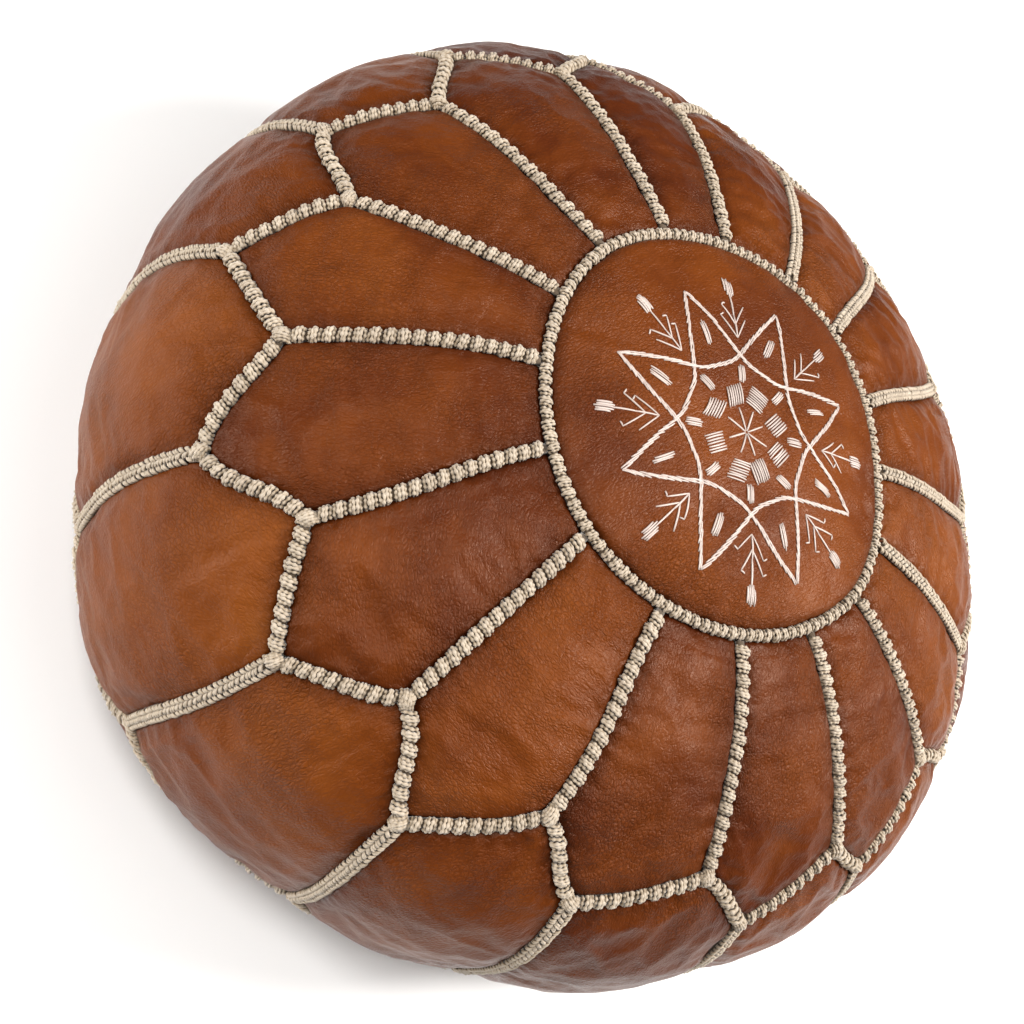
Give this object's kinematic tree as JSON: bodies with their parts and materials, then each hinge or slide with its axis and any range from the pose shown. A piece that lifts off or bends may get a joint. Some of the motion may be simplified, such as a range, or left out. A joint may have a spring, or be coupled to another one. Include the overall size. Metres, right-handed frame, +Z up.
{
  "type": "moroccan leather pouf",
  "caption": "Round stuffed leather floor pouf of pointed panels with braided cream seams, a star embroidered on its top disc, and a zip under its base.",
  "frame": {"origin": "on the floor under the middle of the pouf", "axes": "+Z up through the middle of the top disc; +X along the zip, towards the end where its slider rests when closed"},
  "size_m": [0.54, 0.54, 0.261],
  "materials": {
    "leather_tan": "satin, hand-dyed and mottled",
    "braid_cord": "matte plaited cotton thread",
    "embroidery_silk": "silky thread with a slight sheen",
    "lining_cotton": "plain woven cotton",
    "stuffing_cotton": "loose cotton wadding",
    "zip_tape": "woven brown tape",
    "zip_brass": "slightly tarnished"
  },
  "bodies": {
    "cover": {"top_disc": "leather_tan", "top_petal_01": "leather_tan", "top_petal_02": "leather_tan", "top_petal_03": "leather_tan", "top_petal_04": "leather_tan", "top_petal_05": "leather_tan", "top_petal_06": "leather_tan", "top_petal_07": "leather_tan", "top_petal_08": "leather_tan", "top_petal_09": "leather_tan", "top_petal_10": "leather_tan", "top_petal_11": "leather_tan", "top_petal_12": "leather_tan", "top_petal_13": "leather_tan", "top_petal_14": "leather_tan", "top_petal_15": "leather_tan", "top_petal_16": "leather_tan", "side_panel_01": "leather_tan", "side_panel_02": "leather_tan", "side_panel_03": "leather_tan", "side_panel_04": "leather_tan", "side_panel_05": "leather_tan", "side_panel_06": "leather_tan", "side_panel_07": "leather_tan", "side_panel_08": "leather_tan", "side_panel_09": "leather_tan", "side_panel_10": "leather_tan", "side_panel_11": "leather_tan", "side_panel_12": "leather_tan", "side_panel_13": "leather_tan", "side_panel_14": "leather_tan", "side_panel_15": "leather_tan", "side_panel_16": "leather_tan", "bottom_petal_01": "leather_tan", "bottom_petal_02": "leather_tan", "bottom_petal_03": "leather_tan", "bottom_petal_04": "leather_tan", "bottom_petal_05": "leather_tan", "bottom_petal_06": "leather_tan", "bottom_petal_07": "leather_tan", "bottom_petal_08": "leather_tan", "bottom_petal_09": "leather_tan", "bottom_petal_10": "leather_tan", "bottom_petal_11": "leather_tan", "bottom_petal_12": "leather_tan", "bottom_petal_13": "leather_tan", "bottom_petal_14": "leather_tan", "bottom_petal_15": "leather_tan", "bottom_petal_16": "leather_tan", "bottom_disc_left": "leather_tan", "bottom_disc_right": "leather_tan", "upper_seam_braids": "braid_cord", "lower_seam_braids": "braid_cord", "medallion_embroidery": "embroidery_silk", "inner_bag": "lining_cotton", "stuffing": "stuffing_cotton", "zip_tapes": "zip_tape", "zip_teeth": "zip_brass"},
    "slider": {"zip_slider": "zip_brass"},
    "pull": {"zip_pull": "zip_brass"}
  },
  "joints": [
    {"name": "zip_slide", "type": "slide", "parent": "cover", "child": "slider", "axis": [-1, 0, 0], "range_m": [0, 0.215]},
    {"name": "pull_hinge", "type": "hinge", "parent": "slider", "child": "pull", "pos_m": [0.108, 0, 0.0053], "axis": [0, -1, 0], "range_deg": [0, 180]}
  ]
}
